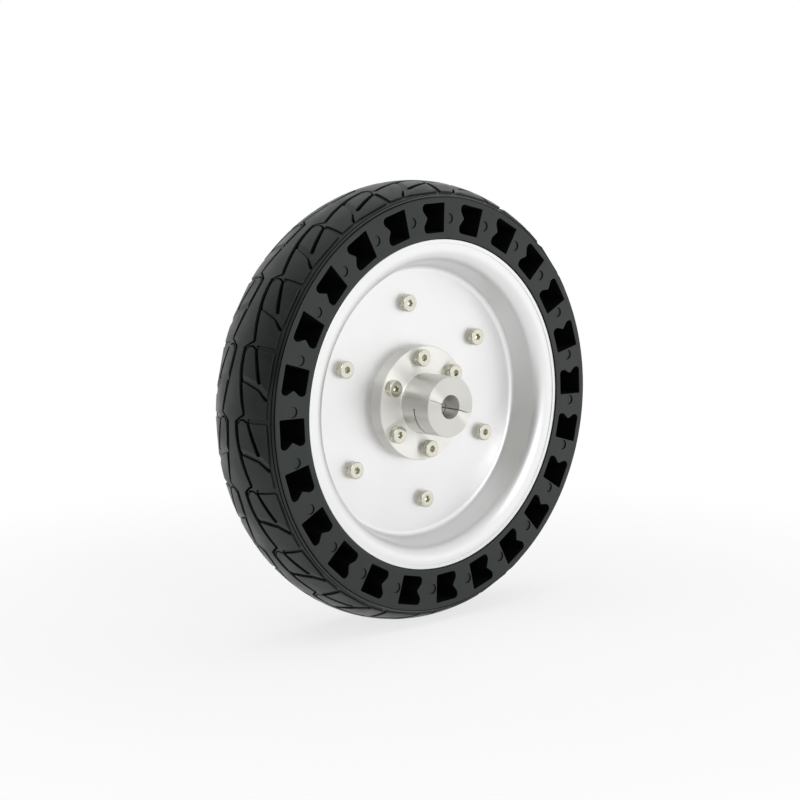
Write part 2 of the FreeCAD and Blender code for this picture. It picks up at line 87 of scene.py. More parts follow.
# Settings
class TyreSettings(bpy.types.PropertyGroup):
    radius: FloatProperty(
        name="Radius", description="Radius at the top of the tread", unit="LENGTH",
        default=reach("tyre", 2))
    half_width: FloatProperty(
        name="Half width", description="Mid-plane to the sidewall, under the solid's raised marks",
        unit="LENGTH", default=reach("tyre", 1) - CAD_MARK_HEIGHT)
    groove_depth: FloatProperty(
        name="Groove depth", description="Depth of the hooked grooves beside the middle rib",
        unit="LENGTH", default=2.5 * MM)
    diagonal_depth: FloatProperty(
        name="Diagonal depth", description="Depth of the short diagonal grooves",
        unit="LENGTH", default=2.2 * MM)
    lug_height: FloatProperty(
        name="Lug height", description="How far the lugs stand over the channels between them",
        unit="LENGTH", default=1.0 * MM)
    mark_depth: FloatProperty(
        name="Mark depth", description="How deep the round mould marks lie in the sidewall",
        unit="LENGTH", default=0.6 * MM)
    colour: FloatVectorProperty(
        name="Rubber", description="Colour of the rubber", subtype="COLOR", default=linear("#181A18"))


class RimSettings(bpy.types.PropertyGroup):
    radius: FloatProperty(
        name="Lip radius", description="Outer radius of the rim's lip", unit="LENGTH",
        default=reach("rim_back_half", 2))
    half_width: FloatProperty(
        name="Half width", description="Mid-plane to the face of the lip", unit="LENGTH",
        default=reach("rim_back_half", 1))
    edge_round: FloatProperty(
        name="Edge round", description="Rounding of the lip's outer edge", unit="LENGTH",
        default=0.35 * MM)
    colour: FloatVectorProperty(
        name="Satin aluminium", description="Colour of the anodised rim", subtype="COLOR",
        default=linear("#E7E7E7"))


class HubSettings(bpy.types.PropertyGroup):
    colour: FloatVectorProperty(
        name="Turned aluminium", description="Colour of the turned hub", subtype="COLOR",
        default=linear("#DDDCD7"))
    # Painted highlight: the flange's face is drawn in a brighter colour than the rest of the hub
    face_highlight_colour: FloatVectorProperty(
        name="Flange face", description="Colour of the flange's face, brightened as a painted highlight", subtype="COLOR",
        default=linear("#F8F7F2"))


class FastenerSettings(bpy.types.PropertyGroup):
    knurl_depth: FloatProperty(
        name="Knurl depth", description="Depth of the fine straight knurl on the screw heads",
        unit="LENGTH", default=0.3 * MM)
    head_round: FloatProperty(
        name="Head round", description="Rounding of the screw heads' top edge", unit="LENGTH",
        default=0.5 * MM)
    colour: FloatVectorProperty(
        name="Nickel plating", description="Colour of the plated screws and nuts", subtype="COLOR",
        default=linear("#D0CEC1"))


class StageSettings(bpy.types.PropertyGroup):
    azimuth: FloatProperty(
        name="Azimuth", description="Camera's angle round the wheel, from straight in front",
        subtype="ANGLE", default=math.radians(-42.37))
    elevation: FloatProperty(
        name="Elevation", description="Camera's angle above the horizon", subtype="ANGLE",
        default=math.radians(8.12))
    distance: FloatProperty(
        name="Distance", description="Camera to the middle of the lip's plane", unit="LENGTH",
        default=898.4 * MM)
    lens: FloatProperty(
        name="Lens", description="Focal length for a 36 mm sensor", unit="CAMERA", default=82.35)
    floor_colour: FloatVectorProperty(
        name="Floor", description="Colour of the pale floor", subtype="COLOR", default=linear("#FBFBFB"))


# Mesh helpers
# Mesh points nearer than this become one, and edges that bend by more than this look sharp
WELD = 0.004 * MM
CREASE = math.radians(35)
# The same distance in a flat sheet, and the smallest triangle that it keeps
SHEET_WELD = 1e-5
SLIVER_AREA = 1e-4


class Surface:
    """Points in millimetres and faces, gathered for one mesh."""

    def __init__(self):
        self.points = []
        self.faces = []

    def add(self, points, faces):
        first = len(self.points)
        self.points.extend(points)
        self.faces.extend([[first + index for index in face] for face in faces])

    def rings(self, rings):
        """Quads between neighbouring closed rings of points."""
        count = len(rings[0])
        faces = []
        for row in range(len(rings) - 1):
            for k in range(count):
                after = (k + 1) % count
                faces.append([row * count + k, row * count + after,
                              (row + 1) * count + after, (row + 1) * count + k])
        self.add(joined(rings), faces)

    def fan(self, ring, middle):
        """Triangles from a closed ring to a point."""
        count = len(ring)
        self.add(list(ring) + [middle], [[k, (k + 1) % count, count] for k in range(count)])

    def copy(self, matrices):
        """A surface with one copy of this one for each matrix."""
        copies = Surface()
        for matrix in matrices:
            copies.add([matrix @ Vector(point) for point in self.points], self.faces)
        return copies


def joined(runs):
    return [point for run in runs for point in run]


def round_angles(count, start=0):
    """Even angles once round a circle."""
    return [start + 360 * k / count for k in range(count)]


def flat_polar(radius, angle):
    turn = math.radians(angle)
    return Vector((radius * math.cos(turn), radius * math.sin(turn)))


def polar(radius, angle, y):
    """Point at a radius and an angle round the axle."""
    x, z = flat_polar(radius, angle)
    return Vector((x, y, z))


def axle_ring(radius, y, angles):
    return [polar(radius, angle, y) for angle in angles]


def upright(points, y):
    """Flat points stood up in a plane across the axle."""
    return [Vector((point.x, y, point.y)) for point in points]


def about_axle(angle):
    """Matrix that turns anticlockwise about the axle."""
    return Matrix.Rotation(math.radians(-angle), 4, "Y")


def corner_arcs(corners, step=12):
    """An arc for each corner (x, y, rounding) of a closed outline, in pieces of about step degrees."""
    arcs = []
    for k, (x, y, radius) in enumerate(corners):
        corner = Vector((x, y))
        to_last = (Vector(corners[k - 1][:2]) - corner).normalized()
        to_next = (Vector(corners[(k + 1) % len(corners)][:2]) - corner).normalized()
        turn = math.pi - to_last.angle(to_next)
        run = radius * math.tan(turn / 2)
        centre = corner + (to_last + to_next).normalized() * radius / math.cos(turn / 2)
        start = corner + to_last * run - centre
        end = corner + to_next * run - centre
        pieces = max(2, math.ceil(math.degrees(turn) / step))
        spokes = [start.slerp(end, part / pieces).normalized() for part in range(pieces + 1)]
        arcs.append([centre + spoke * radius for spoke in spokes])
    return arcs


def widened(outline, grow):
    """A closed outline moved outward, for an outline that runs anticlockwise."""
    moved = []
    for k, point in enumerate(outline):
        before = (point - outline[k - 1]).normalized()
        after = (outline[(k + 1) % len(outline)] - point).normalized()
        normal = Vector((before.y + after.y, -before.x - after.x)).normalized()
        # A sharp corner moves at most twice as far as the sides do
        lean = max(0.5, normal.dot(Vector((after.y, -after.x))))
        moved.append(point + normal * grow / lean)
    return moved


def inside(point, outline):
    """Whether a point lies in a closed outline."""
    crossings = 0
    for k, end in enumerate(outline):
        start = outline[k - 1]
        if (start.y > point.y) != (end.y > point.y):
            across = start.x + (point.y - start.y) * (end.x - start.x) / (end.y - start.y)
            crossings += across > point.x
    return crossings % 2 == 1


def sheet(loops, holes):
    """Triangles in the first of some closed flat loops, except in holes; the points keep their order."""
    points, edges = [], []
    for loop in loops:
        first, count = len(points), len(loop)
        edges.extend((first + k, first + (k + 1) % count) for k in range(count))
        points.extend(loop)
    made, _, faces, sources, _, _ = delaunay_2d_cdt(points, edges, [], 0, SHEET_WELD, True)
    kept = []
    for face in faces:
        corners = [made[index] for index in face]
        middle = sum(corners, Vector((0, 0))) / 3
        in_hole = any(inside(middle, hole) for hole in holes)
        if area_tri(*corners) >= SLIVER_AREA and inside(middle, loops[0]) and not in_hole:
            kept.append([sources[index][0] for index in face])
    return points, kept


def new_piece(name, surface, material, node):
    """A closed mesh object that stands for a CAD node and rides on the wheel's one body."""
    mesh = bpy.data.meshes.new(name)
    mesh.from_pydata([Vector(point) * MM for point in surface.points], [], surface.faces)
    work = bmesh.new()
    work.from_mesh(mesh)
    bmesh.ops.remove_doubles(work, verts=work.verts, dist=WELD)
    bmesh.ops.recalc_face_normals(work, faces=work.faces)
    gaps = [edge for edge in work.edges if not edge.is_manifold]
    if gaps:
        raise RuntimeError(f"{name} is not closed at {len(gaps)} edges")
    work.to_mesh(mesh)
    work.free()
    mesh.shade_smooth()
    mesh.set_sharp_from_angle(angle=CREASE)
    mesh.materials.append(material)
    piece = bpy.data.objects.new(name, mesh)
    bpy.context.scene.collection.objects.link(piece)
    normals = piece.modifiers.new("even shading", "WEIGHTED_NORMAL")
    normals.keep_sharp = True
    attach(piece, "root")
    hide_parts(node)
    return piece


# Material helpers
WHITE = (1, 1, 1, 1)
# Nearly all values of a noise texture lie in this span
NOISE_SPAN = {"From Min": 0.3, "From Max": 0.7}
# Sockets of a Mix node that mixes colours
FACTOR, COLOUR_A, COLOUR_B, MIXED = 0, 6, 7, 2


def add_node(tree, kind, inputs=None, **settings):
    """Adds a shader node, sets its properties, and sets or links its inputs."""
    node = tree.nodes.new("ShaderNode" + kind)
    for name, value in settings.items():
        setattr(node, name, value)
    for name, value in (inputs or {}).items():
        if isinstance(value, bpy.types.NodeSocket):
            tree.links.new(value, node.inputs[name])
        else:
            node.inputs[name].default_value = value
    return node


def new_tree(owner):
    """The owner's empty node tree."""
    owner.use_nodes = True
    owner.node_tree.nodes.clear()
    return owner.node_tree


def new_material(name):
    """A material, its empty node tree, and a socket with the place on the object in metres."""
    material = bpy.data.materials.new(name)
    tree = new_tree(material)
    return material, tree, add_node(tree, "TexCoord").outputs["Object"]


def per_size(size):
    """Scale of a pattern whose features are so many millimetres across."""
    return 1 / (size * MM)


def opaque(colour):
    return [*colour, 1]


# Materials
def moulded_rubber(colour):
    """Vulcanised rubber from a polished mould: near black, with an uneven semi-gloss on the outer faces."""
    material, tree, place = new_material("moulded rubber")
    # Blasted mould grain, drawn at 0.4 mm so that it shows
    grain = add_node(tree, "TexNoise", {"Vector": place, "Scale": per_size(0.4), "Detail": 2})
    # Bloom and unevenness of the rubber in patches of about 12 mm
    bloom = add_node(tree, "TexNoise", {"Vector": place, "Scale": per_size(12), "Detail": 3})
    tone = add_node(tree, "MapRange", {
        "Value": bloom.outputs["Fac"], **NOISE_SPAN, "To Min": 0.75, "To Max": 1.25})
    shade = add_node(tree, "Mix", {
        FACTOR: 1, COLOUR_A: opaque(colour), COLOUR_B: tone.outputs["Result"]},
        data_type="RGBA", blend_type="MULTIPLY")
    sheen = add_node(tree, "MapRange", {
        "Value": bloom.outputs["Fac"], **NOISE_SPAN, "To Min": 0.3, "To Max": 0.5})
    uneven = add_node(tree, "Bump", {
        "Height": bloom.outputs["Fac"], "Strength": 0.6, "Distance": 0.3 * MM})
    bump = add_node(tree, "Bump", {
        "Height": grain.outputs["Fac"], "Strength": 0.25, "Distance": 0.05 * MM,
        "Normal": uneven.outputs["Normal"]})
    # The sheen has a faint green cast
    shader = add_node(tree, "BsdfPrincipled", {
        "Base Color": shade.outputs[MIXED], "Roughness": sheen.outputs["Result"],
        "Normal": bump.outputs["Normal"], "IOR": 1.5, "Specular IOR Level": 0.49,
        "Specular Tint": opaque(linear("#F2FFF8"))})
    add_node(tree, "OutputMaterial", {"Surface": shader.outputs["BSDF"]})
    return material


def recess_shade_rubber(colour):
    """The same rubber in the grooves and openings: matt, and made black with painted shade, a far darker
    colour and a weak gloss.
    """
    material, tree, place = new_material("matt moulded rubber")
    # Rough mould grain, drawn at 0.6 mm so that it shows; it also varies the painted shade
    grain = add_node(tree, "TexNoise", {"Vector": place, "Scale": per_size(0.6), "Detail": 2})
    # Painted shade: the rubber's colour dimmed to between 15 and 30 percent
    tone = add_node(tree, "MapRange", {
        "Value": grain.outputs["Fac"], **NOISE_SPAN, "To Min": 0.15, "To Max": 0.3})
    shade = add_node(tree, "Mix", {
        FACTOR: 1, COLOUR_A: opaque(colour), COLOUR_B: tone.outputs["Result"]},
        data_type="RGBA", blend_type="MULTIPLY")
    bump = add_node(tree, "Bump", {
        "Height": grain.outputs["Fac"], "Strength": 0.3, "Distance": 0.08 * MM})
    # Painted shade: the low specular level keeps reflections out of the recesses
    shader = add_node(tree, "BsdfPrincipled", {
        "Base Color": shade.outputs[MIXED], "Roughness": 0.9, "Normal": bump.outputs["Normal"],
        "IOR": 1.5, "Specular IOR Level": 0.08})
    add_node(tree, "OutputMaterial", {"Surface": shader.outputs["BSDF"]})
    return material


def satin_aluminium(colour):
    """Bead-blasted, clear anodised aluminium: pale, even and satin, with a fine frosted grain."""
    material, tree, place = new_material("satin anodised aluminium")
    # Blasting grit, drawn at 0.35 mm so that it shows
    grit = add_node(tree, "TexNoise", {"Vector": place, "Scale": per_size(0.35), "Detail": 3})
    # Slow drift of the blasting, over about 25 mm
    drift = add_node(tree, "TexNoise", {"Vector": place, "Scale": per_size(25), "Detail": 2})
    gloss = add_node(tree, "MapRange", {
        "Value": drift.outputs["Fac"], **NOISE_SPAN, "To Min": 0.38, "To Max": 0.44})
    bump = add_node(tree, "Bump", {
        "Height": grit.outputs["Fac"], "Strength": 0.15, "Distance": 0.02 * MM})
    shader = add_node(tree, "BsdfPrincipled", {
        "Base Color": opaque(colour), "Metallic": 1, "Roughness": gloss.outputs["Result"],
        "Normal": bump.outputs["Normal"]})
    add_node(tree, "OutputMaterial", {"Surface": shader.outputs["BSDF"]})
    return material


# Inner and outer radius of the hub flange's face, which gets a painted highlight
FLANGE_FACE = (15.2, 28.2)


def turned_aluminium(colour, face_highlight_colour):
    """Fine-turned, clear anodised aluminium: tool marks round the axle draw the light into spokes."""
    material, tree, place = new_material("turned aluminium")
    parts = add_node(tree, "SeparateXYZ", {"Vector": place})
    flat = add_node(tree, "CombineXYZ", {"X": parts.outputs["X"], "Y": parts.outputs["Z"]})
    radius = add_node(tree, "VectorMath", {0: flat.outputs["Vector"]}, operation="LENGTH")
    along = add_node(tree, "CombineXYZ", {"X": radius.outputs["Value"], "Y": parts.outputs["Y"]})
    # Tool marks are about 0.05 mm apart, drawn at 0.2 mm so that they show
    marks = add_node(tree, "TexNoise", {
        "Vector": along.outputs["Vector"], "Scale": per_size(0.2), "Detail": 2})
    gloss = add_node(tree, "MapRange", {
        "Value": marks.outputs["Fac"], **NOISE_SPAN, "To Min": 0.36, "To Max": 0.42})
    bump = add_node(tree, "Bump", {
        "Height": marks.outputs["Fac"], "Strength": 0.06, "Distance": 0.02 * MM})
    round_axle = add_node(tree, "Tangent", direction_type="RADIAL", axis="Y")
    # The flange's face gets a brighter colour than the neck and the edges: a painted highlight
    inner, outer = FLANGE_FACE
    on_face = add_node(tree, "Math", {
        0: radius.outputs["Value"], 1: (inner + outer) / 2 * MM, 2: (outer - inner) / 2 * MM},
        operation="COMPARE")
    tone = add_node(tree, "Mix", {
        FACTOR: on_face.outputs["Value"], COLOUR_A: opaque(colour), COLOUR_B: opaque(face_highlight_colour)},
        data_type="RGBA")
    # A quarter turn lays the streaks across the tool marks
    shader = add_node(tree, "BsdfPrincipled", {
        "Base Color": tone.outputs[MIXED], "Metallic": 1, "Roughness": gloss.outputs["Result"],
        "Anisotropic": 1, "Anisotropic Rotation": 0.25, "Tangent": round_axle.outputs["Tangent"],
        "Normal": bump.outputs["Normal"]})
    add_node(tree, "OutputMaterial", {"Surface": shader.outputs["BSDF"]})
    return material


def nickel_plating(colour):
    """Nickel-plated steel: bright, warm and mirror-like, with a slightly uneven plating."""
    material, tree, place = new_material("nickel plated steel")
    # Uneven plating, in patches of about 1.5 mm
    uneven = add_node(tree, "TexNoise", {"Vector": place, "Scale": per_size(1.5), "Detail": 3})
    tone = add_node(tree, "MapRange", {
        "Value": uneven.outputs["Fac"], **NOISE_SPAN, "To Min": 0.88, "To Max": 1.0})
    shade = add_node(tree, "Mix", {
        FACTOR: 1, COLOUR_A: opaque(colour), COLOUR_B: tone.outputs["Result"]},
        data_type="RGBA", blend_type="MULTIPLY")
    gloss = add_node(tree, "MapRange", {
        "Value": uneven.outputs["Fac"], **NOISE_SPAN, "To Min": 0.07, "To Max": 0.14})
    bump = add_node(tree, "Bump", {
        "Height": uneven.outputs["Fac"], "Strength": 0.1, "Distance": 0.05 * MM})
    shader = add_node(tree, "BsdfPrincipled", {
        "Base Color": shade.outputs[MIXED], "Metallic": 1, "Roughness": gloss.outputs["Result"],
        "Normal": bump.outputs["Normal"]})
    add_node(tree, "OutputMaterial", {"Surface": shader.outputs["BSDF"]})
    return material


# Tread: one repeat on one side of the mid-plane, unrolled flat at FLAT_RADIUS into a tile. Its ribbons
# are runs of (angle in the repeat, offset from the mid-plane, width), in degrees and millimetres.
TREAD_REPEATS = 20
TREAD_START = 15.5
TREAD_PITCH = 360 / TREAD_REPEATS
FLAT_RADIUS = 107
ARC_PER_DEGREE = math.radians(FLAT_RADIUS)
TILE_LENGTH = TREAD_PITCH * ARC_PER_DEGREE
# Angle in the repeat where neighbouring tiles meet: one groove crosses there
TILE_START = 16
CROWN_ARC = 40.3
# Offsets where the tread ends, where the lugs end, and where the channels between them end
TREAD_EDGE = 20.6
LUG_END = 19.4
CHANNEL_END = LUG_END + 0.3
HOOKED_GROOVE = [
    (2.2, 3.35, 2.2), (6, 3.65, 2.2), (10, 4.75, 2.1), (14, 6.25, 1.9), (17.5, 7.85, 1.55),
    (18.1, 7.9, 1.0), (18.4, 7.0, 0.8), (18.9, 5.6, 0.85), (19.4, 4.4, 1.1), (20.2, 3.35, 2.2)]
DIAGONAL_GROOVE = [(2.25, 10.45, 1.5), (6, 12.6, 1.8), (9.9, 14.85, 1.8)]
ARCHED_GROOVE = [
    (2.5, 4.9, 0.4), (1.7, 5.6, 0.55), (1.35, 6.8, 0.7), (1.45, 8.5, 0.75), (2.05, 10.2, 1.0)]
CROSS_CHANNEL = [(1.45, 11.2, 2.3), (1.5, 13, 2.4), (1.55, 20.4, 2.6)]
SLANTED_CHANNEL = [
    (9.4, 6.0, 3.0), (9.75, 9, 3.1), (10.8, 14.7, 3.5), (11.8, 16.6, 3.4), (13.35, 19.3, 3.1),
    (14.0, 20.5, 3.1)]
SLANTED_EDGE = [
    (10.2, 6.4, 0.3), (10.6, 9, 0.4), (11.75, 14.7, 0.6), (12.7, 16.5, 1.0), (13.9, 18.7, 1.5)]
# Depths of two of them, in lug heights
ARCHED_DEPTH, SLANTED_EDGE_DEPTH = 1.6, 1.7
# Groove walls as (distance outside the edge, share of the depth), and a ribbon's smallest half width
WALL_STEPS = [(0.15, 0), (0.02, 0.1), (-0.05, 0.5), (-0.14, 1)]
LEAST_HALF_WIDTH = 0.03
RUN_STEPS = 5
CAP_STEPS = 6
# Points on the lugs, in rows and so many degrees apart, that keep this far from the groove walls
LUG_ROWS = 10
LUG_STEP = 2
WALL_ROOM = 0.5
# Points of the tile nearer than this become one
TILE_WELD = 1e-3
# A line whose ends differ by less than this on an axis is level there
LEVEL = 1e-9


def smooth_run(run):
    """Points on a smooth curve through a run."""
    padded = [run[0], *run, run[-1]]
    points = []
    for k in range(len(run) - 1):
        a, b, c, d = (Vector(point) for point in padded[k:k + 4])
        for part in range(RUN_STEPS):
            t = part / RUN_STEPS
            points.append(0.5 * (2 * b + (c - a) * t + (2 * a - 5 * b + 4 * c - d) * t ** 2
                                 + (3 * b - a - 3 * c + d) * t ** 3))
    return points + [Vector(run[-1])]


def flat_ribbon(run, turn):
    """A smooth run in millimetres on the flat tile, moved on by an angle."""
    return [Vector(((angle + turn) * ARC_PER_DEGREE, offset, width))
            for angle, offset, width in smooth_run(run)]


def ribbon_edge(ribbon, grow):
    """Closed outline of a ribbon with round ends, widened by a distance."""
    left, right = [], []
    last = len(ribbon) - 1
    for k, point in enumerate(ribbon):
        way = (ribbon[min(k + 1, last)] - ribbon[max(k - 1, 0)]).to_2d().normalized()
        side = Vector((-way.y, way.x)) * max(point.z / 2 + grow, LEAST_HALF_WIDTH)
        left.append(point.to_2d() + side)
        right.append(point.to_2d() - side)
    turns = [Matrix.Rotation(-math.pi * part / CAP_STEPS, 2) for part in range(1, CAP_STEPS)]
    caps = []
    for point, edge in ((ribbon[-1], left[-1]), (ribbon[0], right[0])):
        spoke = edge - point.to_2d()
        caps.append([point.to_2d() + turn @ spoke for turn in turns])
    return left + caps[0] + right[::-1] + caps[1]


def ribbon_place(point, ribbon):
    """Distance of a point outside a ribbon's edge, negative inside it, and its share of the way across."""
    nearest = (math.inf, 0)
    for start, end in zip(ribbon, ribbon[1:]):
        _, share = intersect_point_line(point, start.to_2d(), end.to_2d())
        middle = start.lerp(end, min(max(share, 0), 1))
        arm = point - middle.to_2d()
        across = 0.5 - (end - start).to_2d().normalized().cross(arm) / middle.z
        nearest = min(nearest, (arm.length - middle.z / 2, min(max(across, 0), 1)))
    return nearest


def wall_share(distance):
    """Share of a groove's depth at a distance outside its edge."""
    if distance >= WALL_STEPS[0][0]:
        return 0
    for (outer, before), (inner, after) in zip(WALL_STEPS, WALL_STEPS[1:]):
        if distance >= inner:
            return before + (after - before) * (outer - distance) / (outer - inner)
    return 1


def clipped(start, end, corner):
    """The part of a line between the origin and the corner of a box, or None."""
    first, last = 0.0, 1.0
    way = end - start
    for axis in (0, 1):
        if abs(way[axis]) < LEVEL:
            if not 0 <= start[axis] <= corner[axis]:
                return None
            continue
        ends = sorted((-start[axis] / way[axis], (corner[axis] - start[axis]) / way[axis]))
        first, last = max(first, ends[0]), min(last, ends[1])
    if first >= last:
        return None
    return start + way * first, start + way * last


def tread_ribbons(settings):
    """Grooves and channels of three repeats, as ribbon, depth, end and whether its floor is sloped."""
    lug = settings.lug_height / MM
    ribbons = []
    for run, depth, end, sloped in (
            (HOOKED_GROOVE, settings.groove_depth / MM, TREAD_EDGE, False),
            (DIAGONAL_GROOVE, settings.diagonal_depth / MM, TREAD_EDGE, False),
            (ARCHED_GROOVE, ARCHED_DEPTH * lug, TREAD_EDGE, False),
            (CROSS_CHANNEL, lug, CHANNEL_END, False),
            (SLANTED_CHANNEL, lug, CHANNEL_END, True),
            (SLANTED_EDGE, SLANTED_EDGE_DEPTH * lug, CHANNEL_END, False)):
        for turn in (-TREAD_PITCH, 0, TREAD_PITCH):
            ribbons.append((flat_ribbon(run, turn - TILE_START), depth, end, sloped))
    return ribbons


def tread_lines(ribbons):
    """Lines that the tile's faces follow: the groove walls, the lugs' ends and the tile's border."""
    lines = []
    for ribbon, _, end, _ in ribbons:
        for grow, _ in WALL_STEPS:
            outline = ribbon_edge(ribbon, grow)
            for k, point in enumerate(outline):
                line = clipped(outline[k - 1], point, (TILE_LENGTH, end))
                if line:
                    lines.append(line)
    for grow, _ in WALL_STEPS:
        lines.append((Vector((0, LUG_END - grow)), Vector((TILE_LENGTH, LUG_END - grow))))
    for offset in (0, TREAD_EDGE):
        for degree in range(int(TREAD_PITCH)):
            lines.append([Vector((x * ARC_PER_DEGREE, offset)) for x in (degree, degree + 1)])
    for x in (0, TILE_LENGTH):
        lines.append((Vector((x, 0)), Vector((x, TREAD_EDGE))))
    return lines


def tread_tile(settings):
    """Points of one repeat as (angle, offset, depth), and its faces."""
    lug = settings.lug_height / MM
    ribbons = tread_ribbons(settings)
    points = joined(tread_lines(ribbons))
    edges = [(k, k + 1) for k in range(0, len(points), 2)]
    for row in range(1, LUG_ROWS):
        for degree in range(0, int(TREAD_PITCH) + 1, LUG_STEP):
            point = Vector((degree * ARC_PER_DEGREE, LUG_END * row / LUG_ROWS))
            if all(abs(ribbon_place(point, ribbon)[0]) > WALL_ROOM for ribbon, _, _, _ in ribbons):
                points.append(point)
    made, _, faces, _, _, _ = delaunay_2d_cdt(points, edges, [], 0, TILE_WELD, False)
    tile = []
    for point in made:
        depth = lug * wall_share(LUG_END - point.y)
        for ribbon, full, _, sloped in ribbons:
            distance, across = ribbon_place(point, ribbon)
            depth = max(depth, full * wall_share(distance) * (across if sloped else 1))
        tile.append((point.x / ARC_PER_DEGREE + TILE_START, point.y, depth))
    # Both seams get the same points and no slivers, so that neighbouring tiles close
    seams = []
    for x in (0, TILE_LENGTH):
        on_seam = [k for k, point in enumerate(made) if abs(point.x - x) < TILE_WELD]
        seams.append(sorted(on_seam, key=lambda k: made[k].y))
    for first, last in zip(*seams, strict=True):
        angle, offset, depth = tile[first]
        tile[last] = (angle + TREAD_PITCH, offset, depth)
    return tile, [face for face in faces if not any(set(face) <= set(seam) for seam in seams)]


def crown_point(settings, angle, offset, depth):
    """Point of the tread at an offset from the mid-plane, sunk square to the crown's arc."""
    lean = math.asin(offset / CROWN_ARC)
    arc = CROWN_ARC - depth
    radius = settings.radius / MM - CROWN_ARC + arc * math.cos(lean)
    return polar(radius, angle, arc * math.sin(lean))


# Sidewall: one sector about each opening, between two radii and two angles from the opening's side
OPENINGS = 24
FIRST_OPENING = 13.5
SECTOR = (-4, 11)
SECTOR_ROWS = 8
SIDEWALL_LOW, SIDEWALL_HIGH = 82.2, 100.6
# The tyre's turned rings have a point at each half degree, where the tiles and sectors have theirs
TYRE_COLUMNS = 360
COLUMN_START = 0.5
# An opening has one radial side, and two lobes with a notch between them
OPENING_LOW, OPENING_HIGH = 84.9, 99.1
OPENING_ANGLE, NOTCH_ANGLE = 8.3, 6.7
LOBE_WIDTH = 3.4
SIDE_ROUND, LOBE_ROUND, NOTCH_ROUND = 0.5, 2.0, 1.0
# The opening's rounded edge as (distance outside the opening, depth under the sidewall)
OPENING_EDGE = [(0.3, 0), (0.09, 0.09), (0, 0.3)]
# The round mould mark beside each opening, and half the width of its wall
MARK_RADIUS, MARK_CIRCLE, MARK_ANGLE = 2.5, 91.5, -2.0
MARK_WALL = 0.06
MARK_COLUMNS = 32
# Faces this deep under the crown and this near to the mid-plane are in a groove, an opening or a mark, and
# get painted shade
RECESS_DEPTH, RECESS_WIDTH = 1.247, 22.3
# A mark's floor is left without the painted shade; its normal has at least this share along the axle
FLOOR_LEAN = 0.95


def opening_outline():
    middle = (OPENING_LOW + OPENING_HIGH) / 2
    corners = [
        (OPENING_LOW, 0, SIDE_ROUND),
        (OPENING_HIGH, 0, SIDE_ROUND),
        (OPENING_HIGH, OPENING_ANGLE, LOBE_ROUND),
        (OPENING_HIGH - LOBE_WIDTH, OPENING_ANGLE, LOBE_ROUND),
        (middle, NOTCH_ANGLE, NOTCH_ROUND),
        (OPENING_LOW + LOBE_WIDTH, OPENING_ANGLE, LOBE_ROUND),
        (OPENING_LOW, OPENING_ANGLE, LOBE_ROUND)]
    return joined(corner_arcs([(*flat_polar(radius, angle), fillet) for radius, angle, fillet in corners]))


def sector_border():
    low, high = SECTOR
    change = SIDEWALL_LOW - SIDEWALL_HIGH
    inward = [SIDEWALL_HIGH + change * row / SECTOR_ROWS for row in range(1, SECTOR_ROWS)]
    border = [flat_polar(SIDEWALL_HIGH, angle) for angle in range(low, high + 1)]
    border += [flat_polar(radius, high) for radius in inward]
    border += [flat_polar(SIDEWALL_LOW, angle) for angle in range(high, low - 1, -1)]
    border += [flat_polar(radius, low) for radius in reversed(inward)]
    return border


def sidewall_sector(settings):
    """One sector's flat points, their heights over the sidewall, its faces, and its opening's outline."""
    opening = opening_outline()
    loops = [(sector_border(), 0)]
    for grow, depth in OPENING_EDGE:
        loops.append((widened(opening, grow), -depth))
    mark = flat_polar(MARK_CIRCLE, MARK_ANGLE)
    circle = [flat_polar(1, angle) for angle in round_angles(MARK_COLUMNS)]
    for grow, depth in ((MARK_WALL, 0), (-MARK_WALL, settings.mark_depth / MM)):
        loops.append(([mark + spoke * (MARK_RADIUS + grow) for spoke in circle], -depth))
    points, faces = sheet([loop for loop, _ in loops], [opening])
    heights = [height for loop, height in loops for _ in loop]
    return points, heights, faces, opening


def shoulder_section(settings):
    """From the tread's edge over two fine ribs to the sidewall, as (radius, offset from the mid-plane)."""
    sidewall = settings.half_width / MM
    edge = crown_point(settings, 0, TREAD_EDGE, settings.lug_height / MM)
    return [
        (edge.x, edge.y), (102.9, 20.3), (102.78, 20.44),
        (102.1, 20.6), (102.1, 20.86),
        (102.58, 20.98), (102.66, 21.08), (102.6, 21.2), (102.25, 22.05), (102.14, 22.14), (102.04, 22.06),
        (101.98, 21.5), (101.7, 21.48),
        (101.62, 22.12), (101.54, 22.3), (101.36, sidewall - 0.1), (101.1, sidewall - 0.02),
        (SIDEWALL_HIGH, sidewall)]


def bead_section(settings):
    """From the sidewall round the bead that the lip holds to the tyre's base, in the same form."""
    sidewall = settings.half_width / MM
    return [
        (SIDEWALL_LOW, sidewall), (81.88, sidewall - 0.07), (81.72, sidewall - 0.22),
        (81.65, sidewall - 0.45), (81.65, 19.5),
        (81.5, 19.22), (81.2, 19.15), (79.4, 19.15), (79.1, 19.05),
        (71.75, 4.1), (71.5, 3.4)]


